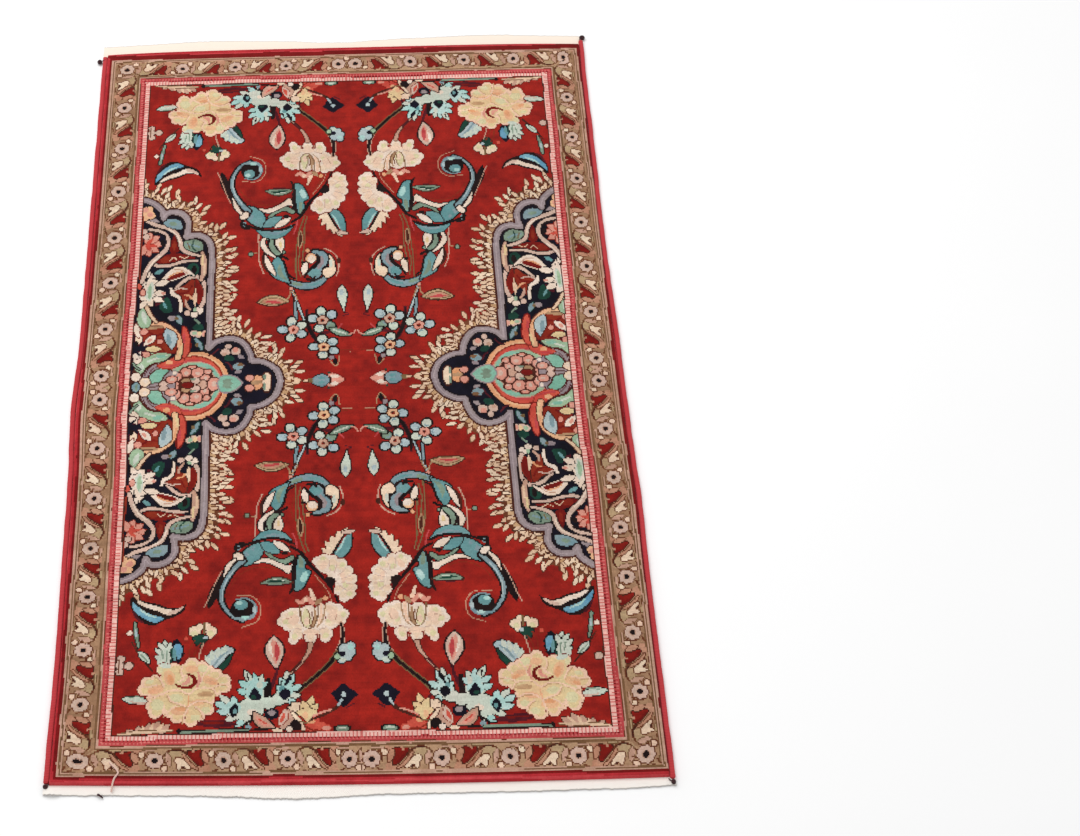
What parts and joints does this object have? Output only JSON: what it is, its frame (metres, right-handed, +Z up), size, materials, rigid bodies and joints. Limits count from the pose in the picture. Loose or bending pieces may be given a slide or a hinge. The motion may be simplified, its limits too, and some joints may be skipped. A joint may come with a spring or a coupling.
{
  "type": "persian rug",
  "caption": "Flat hand-knotted floor rug: knotted wool pile with a mirrored floral field and half medallions, overcast side cords, flat-woven cotton ends, yarn knots at the corners.",
  "frame": {"origin": "on the floor under the middle of the rug's bounding box", "axes": "+X across the rug, +Y along its length towards the far end, +Z up out of the pile"},
  "size_m": [0.8701, 1.4842, 0.0095],
  "materials": {
    "pile": "short cut wool pile, red ground with a many-coloured floral pattern",
    "side_cord": "red wool yarn wrapped closely round the edge cords",
    "flatweave": "undyed cream cotton flat weave",
    "dark_yarn": "dark maroon wool yarn, knotted"
  },
  "bodies": {
    "root": {"knotted_pile": "pile", "selvedge_left": "side_cord", "selvedge_right": "side_cord", "kilim_end_near": "flatweave", "kilim_end_far": "flatweave", "yarn_knot_near_left": "dark_yarn", "yarn_knot_near_right": "dark_yarn", "yarn_knot_far_left": "dark_yarn", "yarn_knot_far_right": "dark_yarn"}
  },
  "joints": []
}
